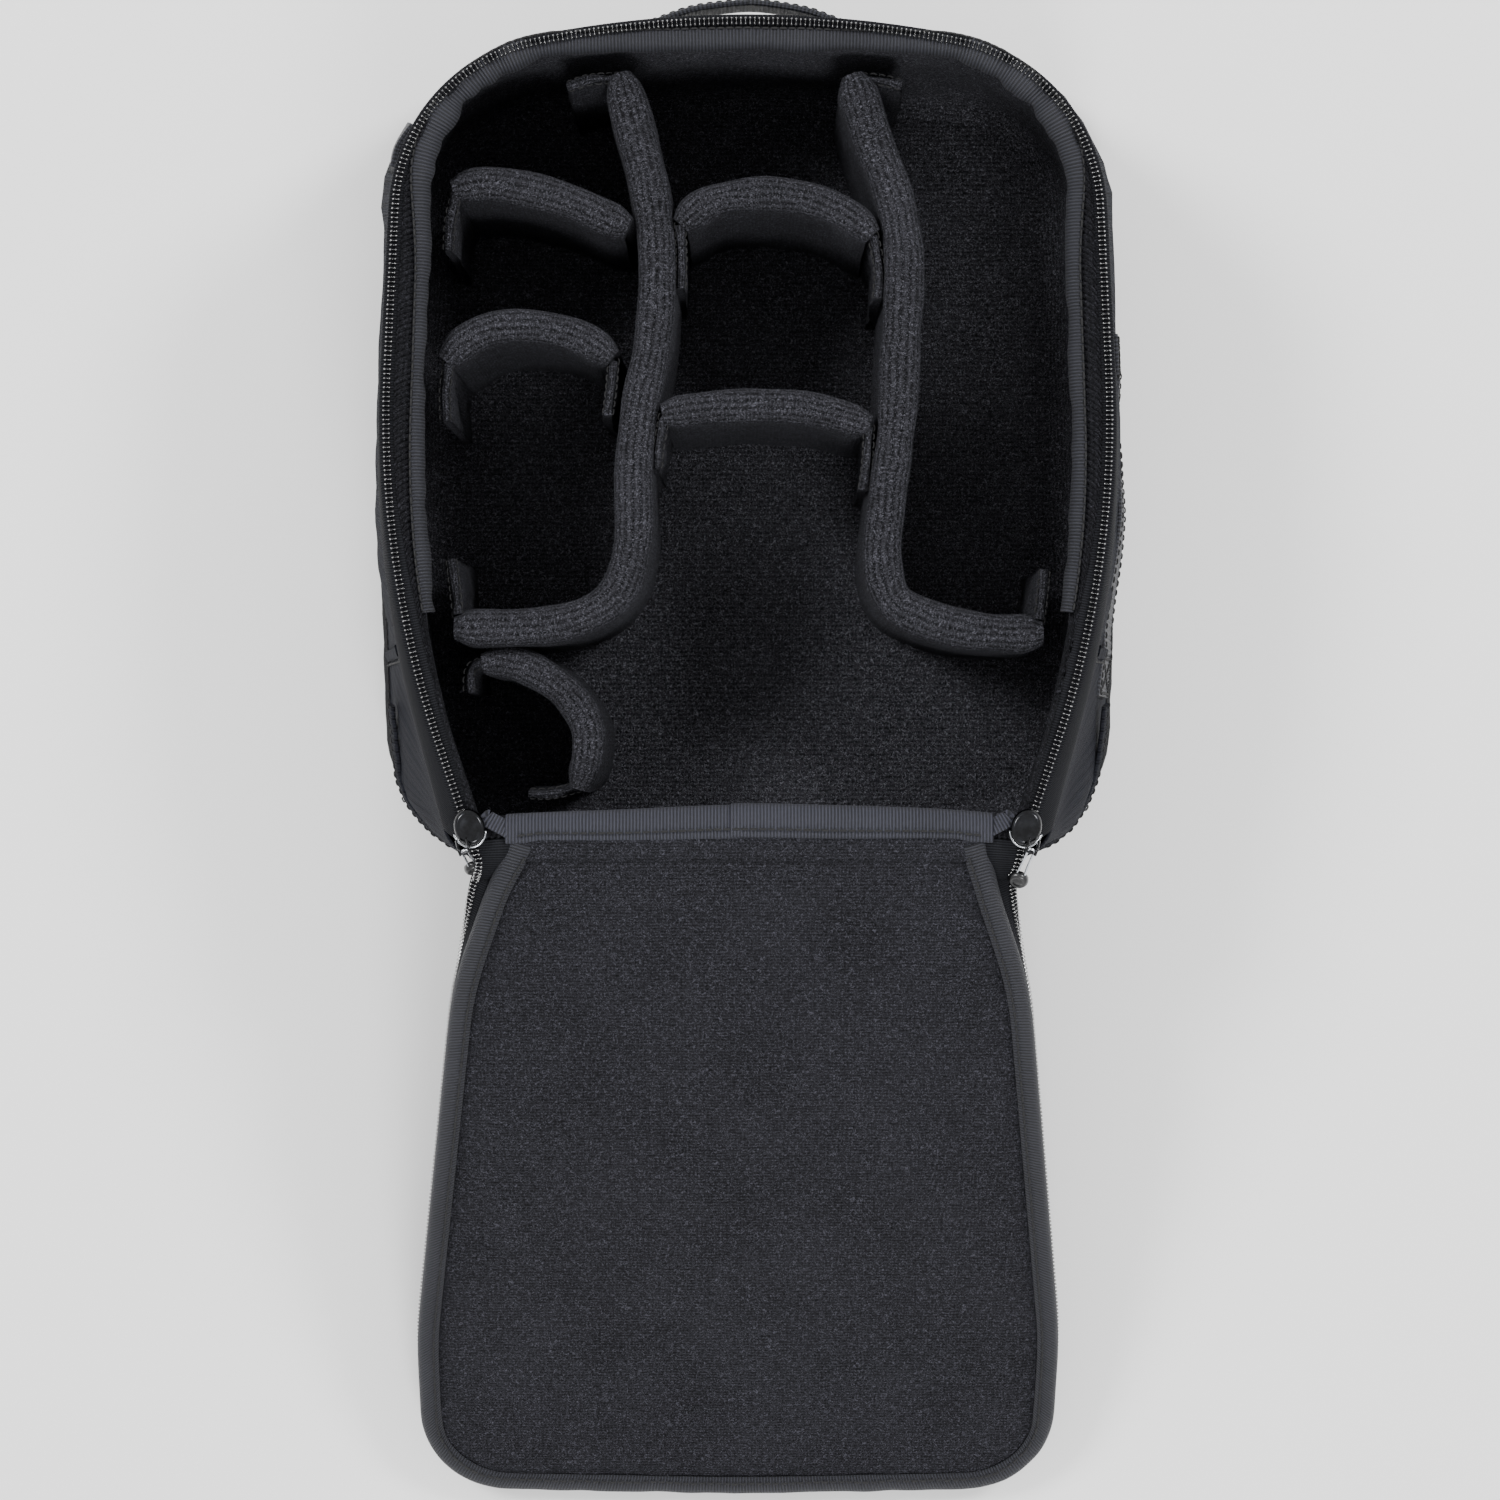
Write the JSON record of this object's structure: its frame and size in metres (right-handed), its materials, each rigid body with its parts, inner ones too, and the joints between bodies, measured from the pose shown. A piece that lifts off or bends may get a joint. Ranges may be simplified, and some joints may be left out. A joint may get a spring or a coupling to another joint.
{
  "type": "camera bag",
  "caption": "Padded camera bag lying on its back with its zip-round lid folded open, lift-out padded dividers inside, webbing grab handles and two-way zip.",
  "frame": {"origin": "centre of the back panel's outer face, which lies on the floor", "axes": "+Z out of the back panel towards the mouth, +Y towards the top grab handle, +X towards the side grab handle"},
  "size_m": [0.2984, 0.5891, 0.1301],
  "materials": {
    "gusset_fabric": "ribbed ottoman nylon, matte charcoal",
    "back_fabric": "plain woven nylon, matte black",
    "board": "matte sheet",
    "foam": "closed-cell foam",
    "knit_lining": "brushed loop knit, black",
    "lid_knit": "flat fine knit, black",
    "binding": "grosgrain ribbon, dark slate",
    "zip_tape": "woven zip tape, dark slate",
    "zip_chain": "nylon coil, satin black",
    "webbing": "flat webbing, dark charcoal",
    "tab_rubber": "ribbed, matte black",
    "slider_metal": "gunmetal black, satin"
  },
  "bodies": {
    "shell": {"back_panel": "back_fabric", "back_rim": "gusset_fabric", "back_piping": "back_fabric", "frame_sheet": "board", "back_foam": "foam", "floor_lining": "knit_lining", "gusset_upper": "gusset_fabric", "gusset_lower": "gusset_fabric", "foam_left": "foam", "foam_right": "foam", "foam_top": "foam", "foam_bottom": "foam", "wall_lining": "knit_lining", "rim_facing": "knit_lining", "mouth_binding": "binding", "body_zip_tape": "zip_tape", "body_zip_chain": "zip_chain", "hinge_fold": "binding", "hinge_binding": "binding", "zip_end_tabs": "binding", "top_handle_anchors": "webbing", "side_handle_anchors": "webbing", "side_tab": "tab_rubber", "slider_right": "slider_metal", "slider_left": "slider_metal"},
    "lid": {"lid_cover": "gusset_fabric", "lid_board": "board", "lid_foam": "foam", "lid_lining": "lid_knit", "lid_binding": "binding", "lid_zip_tape": "zip_tape", "lid_zip_chain": "zip_chain"},
    "top_grab": {"top_handle": "webbing"},
    "side_grab": {"side_handle": "webbing"},
    "pull_right": {"pull_right": "slider_metal"},
    "pull_left": {"pull_left": "slider_metal"},
    "lift_long_left": {"divider_long_left": "knit_lining", "divider_long_left_foam": "foam"},
    "lift_long_right": {"divider_long_right": "knit_lining", "divider_long_right_foam": "foam"},
    "lift_upper_left": {"divider_upper_left": "knit_lining", "divider_upper_left_foam": "foam"},
    "lift_lower_left": {"divider_lower_left": "knit_lining", "divider_lower_left_foam": "foam"},
    "lift_upper_middle": {"divider_upper_middle": "knit_lining", "divider_upper_middle_foam": "foam"},
    "lift_lower_middle": {"divider_lower_middle": "knit_lining", "divider_lower_middle_foam": "foam"},
    "lift_corner": {"divider_corner": "knit_lining", "divider_corner_foam": "foam"}
  },
  "joints": [
    {"name": "lid_hinge", "type": "hinge", "parent": "shell", "child": "lid", "pos_m": [0, -0.148, 0.124], "axis": [1, 0, 0], "range_deg": [-202.3, 0]},
    {"name": "top_handle_swing", "type": "hinge", "parent": "shell", "child": "top_grab", "pos_m": [0, 0.16139, 0.044], "axis": [-1, 0, 0], "range_deg": [0, 60], "stiffness_Nm_per_rad": 0.05},
    {"name": "side_handle_swing", "type": "hinge", "parent": "shell", "child": "side_grab", "pos_m": [0.14247, -0.024, 0.044], "axis": [0.0258, 0.9997, 0], "range_deg": [0, 60], "stiffness_Nm_per_rad": 0.05},
    {"name": "pull_right_swing", "type": "hinge", "parent": "shell", "child": "pull_right", "pos_m": [0.10432, -0.15253, 0.1281], "axis": [0.9487, -0.3162, 0], "range_deg": [-90, 0]},
    {"name": "pull_left_swing", "type": "hinge", "parent": "shell", "child": "pull_left", "pos_m": [-0.10432, -0.15253, 0.1281], "axis": [0.9487, 0.3162, 0], "range_deg": [-90, 0]},
    {"name": "lift_out_long_left", "type": "slide", "parent": "shell", "child": "lift_long_left", "axis": [0, 0, 1], "range_m": [0, 0.13]},
    {"name": "lift_out_long_right", "type": "slide", "parent": "shell", "child": "lift_long_right", "axis": [0, 0, 1], "range_m": [0, 0.13]},
    {"name": "lift_out_upper_left", "type": "slide", "parent": "shell", "child": "lift_upper_left", "axis": [0, 0, 1], "range_m": [0, 0.13]},
    {"name": "lift_out_lower_left", "type": "slide", "parent": "shell", "child": "lift_lower_left", "axis": [0, 0, 1], "range_m": [0, 0.13]},
    {"name": "lift_out_upper_middle", "type": "slide", "parent": "shell", "child": "lift_upper_middle", "axis": [0, 0, 1], "range_m": [0, 0.13]},
    {"name": "lift_out_lower_middle", "type": "slide", "parent": "shell", "child": "lift_lower_middle", "axis": [0, 0, 1], "range_m": [0, 0.13]},
    {"name": "lift_out_corner", "type": "slide", "parent": "shell", "child": "lift_corner", "axis": [0, 0, 1], "range_m": [0, 0.13]}
  ]
}
